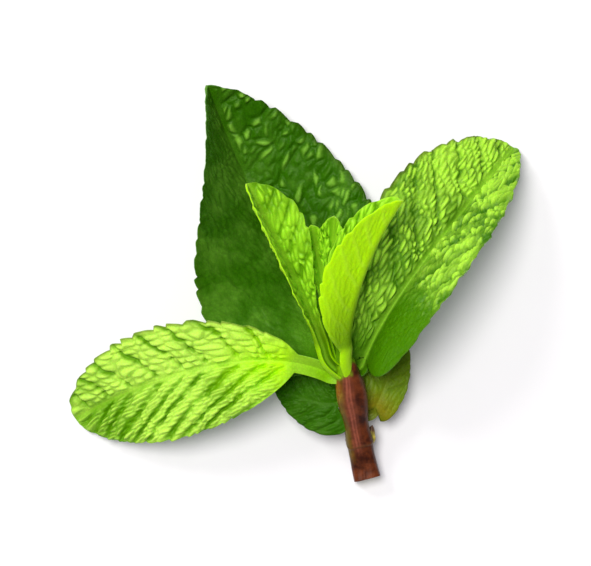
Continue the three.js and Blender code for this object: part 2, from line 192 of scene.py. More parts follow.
LEAVES = {
    "leaf_left": Leaf(
        midrib=[[-2.8, -0.2, 9.0], [-12, 4.0, 13.4], [-26.5, 0.8, 9.4], [-40.4, -7.2, 0.7]],
        petiole=5.2, half_width=(9.2, 7.9), widest=(0.5, 0.52), taper=0.6,
        fold=(26, 18), curl=26, roll=(-14, -5),
        teeth=14, tooth_height=0.8, veins=7, relief=0.42, wave=0.35, rib=1.3,
        pillow_rows=2.3, pillow_length=1.3, tooth_share=(0.35, 0.7), dark_edge=(0.0, 1.0), pale_rib=0.3,
        furrow=(2.4, 2.0), painted_light=(0.82, 1.15), painted_tip_shade=0.45, vein_lean=(1.75, 0.45),
        foot_reach=0.45, stalk=1.4, seed=11,
    ),
    # The right leaf: painted light on its tip, which faces away from the lamps, and painted shade on its
    # smooth base lobe.
    "leaf_right": Leaf(
        midrib=[[2.1, 1.1, 7.4], [4.8, 9.4, 11.8], [13.8, 20.0, 12.0], [24.7, 33.3, 0.6]],
        petiole=1.0, half_width=(10.7, 9.4), widest=(0.54, 0.36), taper=0.66,
        fold=(46, 36), curl=24, roll=(-20, -25),
        teeth=14, tooth_height=0.8, veins=6, relief=0.42, wave=0.3, rib=1.3,
        pillow_rows=3.2, pillow_length=0.95, quilting=(1.2, 1.2), smooth_base=(0.0, 0.3),
        tooth_share=(0.6, 0.35), dark_edge=(1.0, 0.2), furrow=(0.8, 2.0), painted_light=(0.54, 0.46),
        painted_highlights=(0.8, 1.0), painted_tip_shade=-0.9, vein_lean=(0.85, 1.25), stalk=1.4, lobe=1.2, seed=12,
    ),
    # The back leaf: its right half, which faces the lamps, takes painted highlights on its pillows.
    "leaf_back": Leaf(
        midrib=[[-0.6, 1.8, 7.0], [-6.2, 12, -2.8], [-15.5, 28, -2.2], [-20.2, 41.8, 5.5]],
        petiole=1.4, half_width=(16.6, 15.0), widest=(0.35, 0.37), taper=0.7,
        fold=(20, 44), curl=14, roll=(-6, 34),
        teeth=15, tooth_height=0.8, veins=7, relief=0.42, wave=0.3, rib=1.3,
        pillow_rows=3.4, pillow_length=1.8, quilting=(0.3, 0.8), tooth_share=(0.5, 0.55),
        dark_edge=(0.3, 0.6), pale_rib=0.5, furrow=(0.5, 0.8), painted_light=(0.38, 0.15), painted_highlights=(0.0, 0.9),
        vein_lean=(0.95, 0.3), lobe=1.8, seed=13,
    ),
    # The lower left leaf lies in the left leaf's shade: it shows none of the pillows' pale colour, as painted
    # shade.
    "lower_leaf_left": Leaf(
        midrib=[[-1.4, -4.5, 5.9], [-3.8, -5.1, 6.2], [-7.2, -4.0, 5.2], [-11.4, -1.6, 3.4]],
        petiole=0.4, half_width=(4.8, 4.9), widest=(0.12, 0.3), taper=1.0,
        fold=(6, 8), curl=14, roll=(-6, -4),
        teeth=7, tooth_height=0.45, veins=4, relief=0.22, wave=0.15, rib=1.0,
        rows=130, half_columns=38, pillow_length=1.1, quilting=(0.7, 0.7), tooth_share=(0.3, 0.3),
        furrow=(2.0, 2.0), pale_rib=0.3, painted_light=(0.0, 0.0), painted_highlights=(0.0, 0.0), foot_reach=0.02,
        lobe=1.4, seed=14,
    ),
    "lower_leaf_right": Leaf(
        midrib=[[3.9, -6.0, 4.7], [5.1, -3.6, 5.6], [6.8, 0.8, 5.0], [8.4, 5.6, 2.6]],
        petiole=0.4, half_width=(3.7, 3.2), widest=(0.35, 0.3), taper=0.75,
        fold=(8, 8), curl=14, roll=(6, 4),
        teeth=7, tooth_height=0.45, veins=4, relief=0.22, wave=0.15, rib=1.0,
        rows=130, half_columns=38, pillow_length=1.1, quilting=(0.4, 0.4), tooth_share=(0.5, 0.4),
        pale_rib=0.4, lobe=1.5, seed=15,
    ),
    "young_leaf_left": Leaf(
        midrib=[[-3.4, 2.6, 11.1], [-5.6, 10, 13.0], [-9.9, 17.5, 17.0], [-14.2, 27.2, 19.0]],
        petiole=1.0, half_width=(4.6, 5.0), widest=(0.6, 0.7), taper=0.8,
        fold=(80, 42), curl=10, roll=(10, 44),
        teeth=9, tooth_height=0.5, veins=6, relief=0.2, wave=0.2, rib=1.0,
        rows=210, half_columns=48, pillow_length=1.2, quilting=(0.8, 1.5), dark_edge=(0.15, 0.1),
        painted_light=(0.8, 0.75), painted_highlights=(0.4, 0.5), painted_tip_shade=0.4, stalk=1.5, pale_under=0.7, foot_at=0.8,
        seed=16,
    ),
    "young_leaf_right": Leaf(
        midrib=[[-0.7, 2.3, 11.9], [-0.6, 8.5, 15.4], [1.5, 17, 19.2], [7.2, 25.0, 20.7]],
        petiole=1.0, half_width=(5.0, 6.4), widest=(0.6, 0.52), taper=0.8,
        fold=(72, 66), curl=-12, roll=(-68, -62),
        teeth=9, tooth_height=0.5, veins=6, relief=0.2, wave=0.2, rib=1.0,
        rows=210, half_columns=48, pillow_length=1.2, quilting=(1.4, 0.3),
        dark_edge=(0.15, 0.1), foot_reach=0.6, stalk=1.3, foot_at=0.84, seed=17,
    ),
    "shoot_tip_left": Leaf(
        midrib=[[-1.5, 3.9, 10.7], [-2.9, 9.0, 11.1], [-4.3, 15.5, 13.6], [-5.2, 21.0, 16.4]],
        petiole=1.0, half_width=(2.1, 2.1), widest=(0.8, 0.8), taper=0.8,
        fold=(60, 34), curl=10, roll=(10, 10),
        teeth=7, tooth_height=0.7, veins=4, relief=0.24, wave=0, rib=0.9,
        rows=130, half_columns=30, pillow_rows=2.2, pillow_length=0.9, quilting=(2.2, 2.2),
        dark_edge=(0.0, 0.0), painted_light=(0.8, 0.8), painted_highlights=(0.8, 0.8), stalk=1.3, pale_under=0.2,
        foot_at=0.84, seed=18,
    ),
    "shoot_tip_right": Leaf(
        midrib=[[-1.4, 4.0, 10.9], [-2.2, 10.0, 11.3], [-2.5, 16.5, 13.6], [-2.2, 22.2, 17.2]],
        petiole=1.0, half_width=(2.1, 2.1), widest=(0.8, 0.8), taper=0.8,
        fold=(60, 34), curl=10, roll=(-20, -10),
        teeth=7, tooth_height=0.7, veins=4, relief=0.24, wave=0, rib=0.9,
        rows=130, half_columns=30, pillow_rows=2.2, pillow_length=0.9, quilting=(2.2, 2.2),
        dark_edge=(0.0, 0.0), painted_light=(0.8, 0.8), painted_highlights=(0.8, 0.8), stalk=1.3, pale_under=0.2,
        foot_at=0.86, seed=19,
    ),
}

STEM_PATH = [[3.0, -15.9, 1.6], [1.4, -9.5, 1.7], [1.0, -4.5, 7.2], [-0.5, 2.2, 10.3]]
STEM_HALF_WIDTH = (2.05, 1.2)  # at the cut end and under the shoot tip
STEM_SQUARENESS = 3.4  # exponent of the section: 2 is round, larger is squarer
STEM_GROOVE = 0.05  # depth of the groove along each face, as a share of the half width
STEM_SWELLINGS = [  # millimetres from the cut end, height and reach
    (6.4, 0.2, 1.6),  # the lower node, where a pair of leaves was picked off
    (14.5, 0.85, 4.2),  # the leaf node
]
STEM_SCAR = 5.9  # where a pair of petioles met round the stem, from the cut end
STEM_RINGS = 260
STEM_SIDES = 96
STEM_STRANDS = 26  # fine strands round the stem
STRAND_HEIGHT = 0.018
LUMP_HEIGHT = 0.035
SCAR_HEIGHT = 0.09
STEM_CLOSES = 0.93  # share of the stem from which on its upper end closes
CUT_RINGS = 16  # rings of the cut face, from its middle to its rim
PITH_DEPTH = 0.4  # of the hollow in the middle of the cut face
SIDE_BUD = {"at": 6.4, "out": 1.75, "half_size": (0.81, 1.8, 0.855), "lean": 0.3}


# ---------------------------------------------------------------- curves and seeded patterns


class Curve:
    """A cubic curve that is walked by its length."""

    def __init__(self, controls):
        self.controls = np.array(controls, float)
        self.turns = np.linspace(0, 1, CURVE_STEPS)
        steps = length_of(np.diff(self._points(self.turns), axis=0))[:, 0]
        self.reached = np.concatenate([[0], np.cumsum(steps)])
        self.length = self.reached[-1]

    def _points(self, turns):
        turn = np.asarray(turns)[:, None]
        rest = 1 - turn
        a, b, c, d = self.controls
        return a * rest**3 + 3 * b * rest**2 * turn + 3 * c * rest * turn**2 + d * turn**3

    def at(self, shares):
        """Points and headings at shares of the curve's length."""
        turns = np.interp(np.asarray(shares) * self.length, self.reached, self.turns)
        turn = turns[:, None]
        rest = 1 - turn
        a, b, c, d = self.controls
        headings = (b - a) * rest**2 + 2 * (c - b) * rest * turn + (d - c) * turn**2
        return self._points(turns), unit(headings)

    def nearest(self, point):
        points = self._points(self.turns)
        return points[np.argmin(length_of(points - point)[:, 0])]


def sides_of(headings, rolls):
    """The directions square to each heading: to its left and up, turned about it by a roll in radians."""
    side = unit(np.cross(UP, headings))
    over = np.cross(headings, side)
    side = side * np.cos(rolls)[:, None] + over * np.sin(rolls)[:, None]
    return side, np.cross(headings, side)


def scattered_points(x, y, seed, jitter=0.34):
    """Distances to the nearest and the next of points that are scattered one to a unit square, and the seeded
    value from 0 to 1 that belongs to the nearest.
    """
    generator = np.random.default_rng(seed)
    offsets = generator.uniform(-jitter, jitter, (LATTICE, LATTICE, 2))
    values = generator.uniform(0, 1, (LATTICE, LATTICE))
    column = np.floor(x).astype(int)
    row = np.floor(y).astype(int)
    nearest = np.full(x.shape, 9.0)
    second = np.full(x.shape, 9.0)
    own = np.zeros(x.shape)
    for step_x in (-1, 0, 1):
        for step_y in (-1, 0, 1):
            at_x = column + step_x
            at_y = row + step_y
            offset = offsets[at_x % LATTICE, at_y % LATTICE]
            away = np.hypot(at_x + 0.5 + offset[..., 0] - x, at_y + 0.5 + offset[..., 1] - y)
            own = np.where(away < nearest, values[at_x % LATTICE, at_y % LATTICE], own)
            second = np.minimum(second, np.maximum(nearest, away))
            nearest = np.minimum(nearest, away)
    return nearest, second, own


def soft_noise(x, y, seed):
    """Smooth seeded noise from -1 to 1, with hills about one unit wide."""
    values = np.random.default_rng(seed).uniform(-1, 1, (LATTICE, LATTICE))
    column = np.floor(x).astype(int)
    row = np.floor(y).astype(int)
    share_x = smooth_step(0, 1, x - column)
    share_y = smooth_step(0, 1, y - row)
    total = 0
    for step_x, weight_x in ((0, 1 - share_x), (1, share_x)):
        for step_y, weight_y in ((0, 1 - share_y), (1, share_y)):
            corner = values[(column + step_x) % LATTICE, (row + step_y) % LATTICE]
            total = total + weight_x * weight_y * corner
    return total


# ---------------------------------------------------------------- leaves


def each_half(values, left):
    """A leaf's value for the half that each point is on, from its values for the left and the right half."""
    return np.where(left, values[0], values[1])


def saw_edge(leaf, blade, left):
    """The margin's teeth, from -0.5 in the notches to 0.5 at their tips, each with a round back."""
    heights = np.random.default_rng(leaf.seed + 100).uniform(*TOOTH_HEIGHTS, (2, leaf.teeth + 2))
    place = leaf.teeth * (blade - TOOTHLESS) / (1 - TOOTHLESS) + each_half((0.0, TOOTH_STAGGER), left)
    place = place + TOOTH_WANDER * np.sin(2.3 * place + leaf.seed)
    tooth = np.clip(np.floor(place).astype(int), 0, leaf.teeth + 1)
    phase = place - np.floor(place)
    back = 1 - (1 - np.clip(phase / TOOTH_TIP, 0, 1)) ** TOOTH_BACK
    front = (1 - phase) / (1 - TOOTH_TIP)
    height = np.where(phase < TOOTH_TIP, back, front) - 0.5
    grown = smooth_step(TOOTHLESS, TOOTHLESS + 0.05, blade)
    return height * heights[np.where(left, 0, 1), tooth] * grown


def side_veins(leaf, length, along, out, lean):
    """The side veins' own count along the leaf: whole numbers lie on a vein. Also the gap between two."""
    gap = VEINED * length / leaf.veins
    vein = (along - lean * out - VEIN_ARCH * out**2) / gap
    return vein + VEIN_WANDER * np.sin(2.1 * vein + leaf.seed), gap / np.hypot(1, lean)


def quilt(leaf, length, along, out, left):
    """How close a point is to a side vein, how high it lies on its pillow and on its strip of pillows, how
    much of the pillows' pale colour it has as painted light, which is little along the side veins and between
    pillows as painted shade, and whether its pillow is one of the palest, which takes a painted highlight.
    """
    shift = np.where(left, 0, HALVES_APART)
    lean = each_half(leaf.vein_lean, left)

    def straying(size, number):
        """Noise over the blade, with hills of a size in millimetres."""
        return soft_noise(along / size, out / size + shift, leaf.seed + number)

    vein, gap = side_veins(leaf, length, along, out, lean)
    vein = vein + VEIN_SWAY * straying(1.7, 4)
    from_vein = np.abs(vein - np.round(vein)) * gap
    strip = np.abs(np.sin(math.pi * vein)) ** 0.7
    x = vein * leaf.pillow_rows + PILLOW_SWAY * straying(2.5, 1)
    y = out * np.hypot(1, lean) / leaf.pillow_length + shift + PILLOW_SWAY * straying(2.5, 2)
    nearest, second, own = scattered_points(x, y, leaf.seed)
    inside = second - nearest
    dome = smooth_step(-0.1, 0.8, inside) * (0.6 + 0.8 * own)

    # Furrows run in stretches, and are nowhere quite gone.
    furrowed = bump(from_vein, 0, FURROW_REACH) * (0.25 + 0.75 * smooth_step(-0.7, 0.1, straying(2.2, 3)))
    # Painted shade: furrows and the valleys between pillows lose some of the pillows' pale colour.
    valley = 1 - smooth_step(0, 0.5, inside)
    pale = 1 - FURROW_SHADE * each_half(leaf.furrow, left) * furrowed - VALLEY_SHADE * valley
    # Painted highlights on the palest pillows.
    painted_highlight = smooth_step(0.5, 0.75, own) * smooth_step(0.1, 0.8, inside)
    return bump(from_vein, 0, VEIN_REACH), dome, strip, pale, painted_highlight


def run_into_stem(leaf, curve):
    """The curve of a petiole's foot, from inside the stem to where the leaf's midrib starts."""
    stem = Curve(STEM_PATH)
    (foot,), (heading,) = curve.at([0.0])
    inside = stem.nearest(foot) if leaf.foot_at is None else stem.at([leaf.foot_at])[0][0]
    reach = np.linalg.norm(foot - inside)
    return Curve([inside, inside + (foot - inside) * 0.4, foot - heading * 0.35 * reach, foot])


def leaf_grids(leaf):
    """A leaf's upper and under face as grids of points, in millimetres from the leaf node, with its masks."""
    curve = Curve(leaf.midrib)
    foot_shares = np.linspace(0, 1, FOOT_ROWS, endpoint=False)
    shares = np.linspace(0, 1, leaf.rows)
    foot_points, foot_headings = run_into_stem(leaf, curve).at(foot_shares)
    blade_points, blade_headings = curve.at(shares)
    points = np.concatenate([foot_points, blade_points])
    headings = np.concatenate([foot_headings, blade_headings])
    share = np.concatenate([np.zeros(FOOT_ROWS), shares])[:, None]
    in_foot = np.concatenate([1 - foot_shares, np.zeros(leaf.rows)])[:, None]
    side, over = sides_of(headings, np.radians(blend(leaf.roll, share[:, 0])))

    half = ((np.arange(leaf.half_columns) + 1) / leaf.half_columns) ** 1.1  # columns crowd at the midrib
    across = np.concatenate([-half[::-1], [0.0], half])[None, :] + 0 * share
    size = np.abs(across)
    left = across > 0

    # The outline: the petiole's width and the blade's, down to a tip that closes, but not to nothing.
    petiole = leaf.petiole / curve.length
    blade = np.clip((share - petiole) / (1 - petiole), 0, 1) + 0 * across
    widest = each_half(leaf.widest, left)
    swell = leaf.taper * widest / (1 - widest)
    fullness = (blade / widest) ** swell * ((1 - blade) / (1 - widest)) ** leaf.taper
    stalk = leaf.stalk * PETIOLE_SHARE * leaf.rib * (1 - blade) * (1 + FOOT_FLARE * in_foot)
    half_width = each_half(leaf.half_width, left) * fullness
    half_width = np.sqrt(half_width**2 + stalk**2 + BLUNT_TIP**2)
    closing = np.clip((blade - (1 - ROUND_TIP)) / ROUND_TIP, 0, 1)
    half_width = half_width * np.sqrt(np.maximum(1 - closing**2, 0.01))

    in_full = np.minimum(1, half_width / RELIEF_WIDTH)
    tooth_height = leaf.tooth_height * each_half(leaf.tooth_share, left)
    tooth = size**TOOTH_DEPTH * in_full * tooth_height * saw_edge(leaf, blade, left)
    along = blade * curve.length
    out = size * half_width

    # The relief: side veins, pillows and the midrib's groove, over the waves of the margin. It fades
    # towards the midrib and the margin, and on a smooth area at the base.
    vein_line, dome, strip, pale, painted_highlight = quilt(leaf, curve.length, along, out, left)
    grown = smooth_step(0.0, 0.12, blade)
    roughened = smooth_step(0.15, 0.8, out) * grown * (1 - 0.55 * smooth_step(0.86, 1.0, size)) * in_full
    smooth_end = each_half(leaf.smooth_base, left)
    smooth_area = 1 - smooth_step(smooth_end - SMOOTH_FADE, smooth_end + SMOOTH_FADE, blade)
    smooth_area = (smooth_end > 0) * smooth_area
    roughened = roughened * (1 - (1 - SMOOTH_LEFT) * smooth_area)
    quilting = each_half(leaf.quilting, left) * roughened
    fineness = leaf.relief / FULL_RELIEF
    midrib_line = bump(out, 0, MIDRIB_REACH)
    groove = MIDRIB_DEPTH * (1 - 0.7 * share) * midrib_line * min(1, leaf.rib) * leaf.pale_rib
    wave = in_full * leaf.wave * size**4 * np.sin(WAVE_TURN * blade + WAVE_OFFSET * np.sign(across))
    height = wave * (blade > 0) - groove
    height = height + leaf.relief * quilting * (STRIP_PART * strip + PILLOW_PART * dome - RELIEF_LOW)
    height = height - VEIN_DEPTH * each_half(leaf.furrow, left) * fineness * vein_line * quilting

    # Each half rises from the midrib and loses part of that towards its margin.
    fold = np.radians(blend(leaf.fold, share))
    bend = math.radians(leaf.curl) / leaf.half_width[0]
    reach = out + tooth
    slope = (fold - bend * reach) * (1 - bump(out, 0, CREASE))
    sideways = np.sign(across) * (np.sin(fold) - np.sin(fold - bend * reach)) / bend
    raised = (np.cos(fold - bend * reach) - np.cos(fold)) / bend
    side = side[:, None, :]
    over = over[:, None, :]
    normal = over * np.cos(slope)[..., None] - side * (np.sign(across) * np.sin(slope))[..., None]
    upper = points[:, None, :] + side * sideways[..., None] + over * raised[..., None]
    lobe = leaf.lobe * size * (1 - smooth_step(0, 0.3, blade)) * (blade > 0)
    upper = upper + headings[:, None, :] * (TOOTH_LEAN * tooth - lobe)[..., None]
    upper = upper + normal * (height - (BLADE - THIN))[..., None]

    # The thickness: thin at the margin, with keels under the veins and a round petiole.
    stalkness = 1 - smooth_step(0, 0.1, blade)
    edge_shape = THIN_EDGE + (1 - THIN_EDGE) * np.sqrt(np.maximum(1 - size**10, 0))
    rounded = 1 + stalkness * (1.3 * np.sqrt(np.maximum(1 - size**2, 0)) - 1)
    keel = (leaf.rib - BLADE) * (1 - RIB_LOSS * share) + KEEL_EXTRA * stalkness
    veins_out = VEIN_KEEL * vein_line * (1 - 0.6 * size) + NET_KEEL * (1 - dome)
    depth = THIN + veins_out * fineness * quilting
    depth = depth * edge_shape + keel * bump(out, 0, RIB_REACH) * rounded - 0.7 * groove
    under = upper - normal * depth[..., None]

    # Where it would sink into the table it is pressed flat on it.
    pressed = under[..., 2] < 0
    under[..., 2] = np.maximum(under[..., 2], 0)
    lifted = np.maximum(upper[..., 2], THIN * edge_shape)
    upper[..., 2] = np.where(pressed, lifted, upper[..., 2])

    # The masks that the materials read.
    # Painted light and shade: the pillows' pale, lit colour against the shaded valleys, a share for each
    # half, less on the petiole and at a darkened tip, and painted highlights on the palest pillows.
    painted_light = each_half(leaf.painted_light, left) * (1 - 0.7 * stalkness)
    painted_light = painted_light * (1 - leaf.painted_tip_shade * smooth_step(0.55, 0.95, blade))
    pillow = painted_light * np.clip(pale * quilting + (1 - quilting) * 0.6, 0, 1)
    pillow = pillow + each_half(leaf.painted_highlights, left) * painted_highlight * np.minimum(1, quilting)
    # The foot's colour fades along the blade; on the green leaf that colour is painted shade over the right
    # leaf's base lobe, which the smooth base area takes as well.
    foot = (1 - smooth_step(0.0, leaf.foot_reach, blade)) * bump(out, 0, FOOT_WIDTH)
    foot = foot * (0.3 + 0.7 * smooth_step(0, 0.06, blade))
    masks = {
        "pillow": np.clip(pillow, 0, 1),
        "rib": leaf.pale_rib * midrib_line * (1 - 0.5 * share),
        "vein": np.clip(vein_line * quilting * (1 - 0.7 * size), 0, 1),
        "foot": np.maximum(foot, smooth_area),
        # The teeth's edge colour: painted shade on the grown leaves, where the teeth turn away from the
        # lamps.
        "edge": smooth_step(0.93, 1.0, size) * grown * each_half(leaf.dark_edge, left),
    }
    return upper, under, masks


def leaf_mesh(leaf):
    """A leaf as one closed surface: its upper face, its under face and the margin between them."""
    upper, under, masks = leaf_grids(leaf)
    rows, columns = upper.shape[:2]
    count = rows * columns
    index = np.arange(count).reshape(rows, columns)
    a, b, c, d = index[:-1, :-1], index[1:, :-1], index[1:, 1:], index[:-1, 1:]
    top = np.stack([a, b, c, d], -1).reshape(-1, 4)
    bottom = np.stack([a, d, c, b], -1).reshape(-1, 4) + count
    rim = np.concatenate([index[0, ::-1], index[1:, 0], index[-1, 1:], index[-2:0:-1, -1]])
    following = np.roll(rim, -1)
    wall = np.stack([rim, rim + count, following + count, following], -1)
    faces = np.concatenate([top, bottom, wall]).tolist()
    vertices = np.concatenate([upper.reshape(-1, 3), under.reshape(-1, 3)])
    values = {key: np.tile(mask.ravel(), 2) for key, mask in masks.items()}
    values["under"] = np.repeat([0.0, leaf.pale_under], count)
    return vertices, faces, values


# ---------------------------------------------------------------- stem


def stem_section(angle):
    """The radius of a square with rounded corners and a shallow groove along each face."""
    x = np.abs(np.cos(angle))
    y = np.abs(np.sin(angle))
    rounded = (x**STEM_SQUARENESS + y**STEM_SQUARENESS) ** (-1 / STEM_SQUARENESS)
    return rounded * (1 - STEM_GROOVE * np.cos(2 * angle) ** 2)


def closed_tube(rings, first, last):
    """Vertices and faces of rings of points that follow each other, closed at both ends by a fan."""
    count, sides = rings.shape[:2]
    index = np.arange(count * sides).reshape(count, sides)
    following = np.roll(index, -1, axis=1)
    quads = np.stack([index[:-1], following[:-1], following[1:], index[1:]], -1).reshape(-1, 4).tolist()
    start = np.stack([np.full(sides, count * sides), following[0], index[0]], -1).tolist()
    end = np.stack([index[-1], following[-1], np.full(sides, count * sides + 1)], -1).tolist()
    vertices = np.concatenate([rings.reshape(-1, 3), [first, last]])
    return vertices, quads + start + end


def with_ends(mask, first, last):
    """A mask of a tube's rings, with the values of the two points that close it."""
    return np.concatenate([mask.ravel(), [first, last]])


def stem_mesh():
    """The square stem, from its cut face to its end between the young leaves. Angle 0 faces left."""
    line = Curve(STEM_PATH)
    share = np.linspace(0, 1, STEM_RINGS)[:, None]
    angle = np.linspace(0, 2 * math.pi, STEM_SIDES, endpoint=False)[None, :]
    points, headings = line.at(share[:, 0])
    side, over = sides_of(headings, np.zeros(STEM_RINGS))
    reached = share * line.length
    half_width = blend(STEM_HALF_WIDTH, share)
    for at, height, reach in STEM_SWELLINGS:
        half_width = half_width + height * bump(reached, at, reach)
    half_width = half_width * np.sqrt(1 - 0.9 * smooth_step(STEM_CLOSES, 1.0, share) ** 2)
    strand = np.sin(STEM_STRANDS * angle + 2.5 * soft_noise(reached / 3, 0 * angle, 41))
    lumps = soft_noise(reached / 1.4, angle * 2.6, 42)
    scar = bump(reached + 0.12 * np.sin(2 * angle), STEM_SCAR, 0.22)
    skin = STRAND_HEIGHT * strand + LUMP_HEIGHT * lumps + SCAR_HEIGHT * scar
    radius = half_width * stem_section(angle) + skin
    rings = (
        points[:, None]
        + side[:, None] * (radius * np.cos(angle))[..., None]
        + over[:, None] * (radius * np.sin(angle))[..., None]
    )
    rings[..., 2] = np.maximum(rings[..., 2], 0)

    # The cut face, slightly hollow in its pith and uneven.
    rim = rings[0]
    middle = rim.mean(axis=0)
    inwards = np.linspace(0.06, 1, CUT_RINGS, endpoint=False)[:, None]
    hollow = PITH_DEPTH * smooth_step(0.75, 0.2, inwards) + 0.08 * soft_noise(inwards * 5, angle * 2, 43)
    hollow = hollow * (1 - inwards**8) - 0.05 * bump(inwards, 0.85, 0.1)
    cut = middle + (rim - middle) * inwards[..., None] + headings[0] * hollow[..., None]

    vertices, faces = closed_tube(np.concatenate([cut, rings]), middle + headings[0] * PITH_DEPTH, points[-1])

    # The masks: a green strip on the left, a grey painted shade on the right, a pale painted highlight near
    # the top, and the node.
    flat_cut = 0 * cut[..., 0]
    turned = np.cos(angle - math.radians(22))
    strip = smooth_step(0.7, 0.98, turned) * smooth_step(2.5, 5.0, reached)
    # Painted shade on the right side, away from the lamps at the back left.
    painted_shade_side = smooth_step(0.6, 0.95, -np.cos(angle)) * smooth_step(6.0, 9.0, reached)
    near_node = smooth_step(18.4, 19.4, reached + 1.0 * np.cos(angle) + 0.8 * lumps)
    patch = bump(angle, math.radians(24), 0.45) * bump(reached + 0.8 * lumps, 16.4, 1.8)
    # A painted highlight on the face turned up, near the top.
    painted_highlight_streak = bump(angle, math.radians(78), 0.3) * smooth_step(3.5, 7.0, reached)
    masks = {
        "green": strip * (0.75 + 0.25 * lumps),
        "grey": painted_shade_side * (1 - near_node),
        "node": near_node,
        "patch": patch,
        "painted_highlight_streak": painted_highlight_streak * (1 - near_node) * (0.7 + 0.3 * strand),
        "scar": scar,
    }
    values = {key: with_ends(np.concatenate([flat_cut, mask]), 0, 0) for key, mask in masks.items()}
    radial = np.concatenate([inwards + 0 * angle, 1 + 0 * radius])
    values["cut"] = with_ends(np.concatenate([1 + flat_cut, 0 * radius]), 1, 0)
    values["radial"] = with_ends(radial, 0, 1)
    return vertices, faces, values


def side_bud_mesh():
    """What is left of a side bud: a small egg of folded scales with a dried tip, on the right of the stem."""
    line = Curve(STEM_PATH)
    (place,), (heading,) = line.at([SIDE_BUD["at"] / line.length])
    (side,), (over,) = sides_of(np.array([heading]), np.zeros(1))
    turn = SIDE_BUD["lean"]
    axis = heading * math.cos(turn) - side * math.sin(turn)
    across = side * math.cos(turn) + heading * math.sin(turn)
    width, reach, depth = SIDE_BUD["half_size"]
    share = np.linspace(0.02, 0.98, 60)[:, None]
    angle = np.linspace(0, 2 * math.pi, 48, endpoint=False)[None, :]
    round_off = np.sin(math.pi * share) ** 0.7 * (1 - 0.25 * share)
    ridges = 1 + 0.06 * np.sin(5 * angle + 3 * share) + 0.05 * soft_noise(share * 9, angle * 2, 51)
    step = 1 + 0.12 * smooth_step(0.5, 0.46, share + 0.06 * np.sin(2 * angle))
    radius = round_off * ridges * step
    centre = place - side * SIDE_BUD["out"]
    rings = (
        centre
        + axis * (reach * (2 * share - 1))[..., None]
        + across * (width * radius * np.cos(angle))[..., None]
        + over * (depth * radius * np.sin(angle))[..., None]
    )
    rings[..., 2] = np.maximum(rings[..., 2], 0)
    vertices, faces = closed_tube(rings, centre - axis * reach, centre + axis * reach)
    dried = smooth_step(0.62, 0.85, share + 0.05 * soft_noise(share * 12, angle * 3, 52))
    return vertices, faces, {"dried": with_ends(dried, 0, 1), "scale": with_ends(ridges + 0 * share, 1, 1)}


# ---------------------------------------------------------------- node trees


def colour(red, green, blue):
    """A colour from display values between 0 and 255."""
    shares = [value / 255 for value in (red, green, blue)]
    linear = [((share + 0.055) / 1.055) ** 2.4 if share > 0.04045 else share / 12.92 for share in shares]
    return (*linear, 1.0)


def set_input(tree, socket, value):
    if isinstance(value, bpy.types.NodeSocket):
        tree.links.new(value, socket)
    else:
        socket.default_value = value


def add_node(tree, kind, settings=None, **inputs):
    """A node with its settings and inputs. An input's name is written with _ for a space."""
    node = tree.nodes.new(kind)
    for key, value in (settings or {}).items():
        setattr(node, key, value)
    for key, value in inputs.items():
        set_input(tree, node.inputs[key.replace("_", " ")], value)
    return node


def calculate(tree, operation, first, second=0.0):
    node = add_node(tree, "ShaderNodeMath", {"operation": operation})
    set_input(tree, node.inputs[0], first)
    set_input(tree, node.inputs[1], second)
    return node.outputs[0]


def weighed(tree, first, first_weight, second, second_weight):
    """The sum of two values, each with its weight."""
    parts = [(first, first_weight), (second, second_weight)]
    first, second = (calculate(tree, "MULTIPLY", value, weight) for value, weight in parts)
    return calculate(tree, "ADD", first, second)


def ranged(tree, value, low, high, to_low=0.0, to_high=1.0):
    """A value that runs from to_low to to_high, and stays there, as another runs from low to high."""
    node = add_node(tree, "ShaderNodeMapRange", {"interpolation_type": "SMOOTHSTEP"}, Value=value)
    for key, limit in (("From Min", low), ("From Max", high), ("To Min", to_low), ("To Max", to_high)):
        set_input(tree, node.inputs[key], limit)
    return node.outputs["Result"]


def mixed(tree, share, first, second):
    """The first colour with a share of the second."""
    node = add_node(tree, "ShaderNodeMix", {"data_type": "RGBA"})
    set_input(tree, node.inputs[0], share)
    set_input(tree, node.inputs[6], first)
    set_input(tree, node.inputs[7], second)
    return node.outputs[2]


def mask_of(tree, name):
    return add_node(tree, "ShaderNodeAttribute", {"attribute_name": name}).outputs["Fac"]


def noise(tree, scale, detail, roughness):
    """Noise in the object's own space. scale is in waves a metre."""
    place = add_node(tree, "ShaderNodeTexCoord").outputs["Object"]
    node = add_node(tree, "ShaderNodeTexNoise", Vector=place, Scale=scale, Detail=detail, Roughness=roughness)
    return node.outputs["Fac"]


def small_cells(tree, scale):
    """0 on the lines between small cells and rising into them, in the object's own space."""
    place = add_node(tree, "ShaderNodeTexCoord").outputs["Object"]
    node = add_node(tree, "ShaderNodeTexVoronoi", {"feature": "DISTANCE_TO_EDGE"}, Vector=place, Scale=scale)
    return node.outputs["Distance"]


def new_group(name, inputs, outputs):
    """A node group with its input and output nodes. inputs are names and first values, and outputs names and
    kinds.
    """
    group = bpy.data.node_groups.new(name, "ShaderNodeTree")
    for key, value in inputs.items():
        kind = "NodeSocketFloat" if isinstance(value, float) else "NodeSocketColor"
        group.interface.new_socket(key, in_out="INPUT", socket_type=kind).default_value = value
    for key, kind in outputs.items():
        group.interface.new_socket(key, in_out="OUTPUT", socket_type=kind)
    return group, group.nodes.new("NodeGroupInput"), group.nodes.new("NodeGroupOutput")


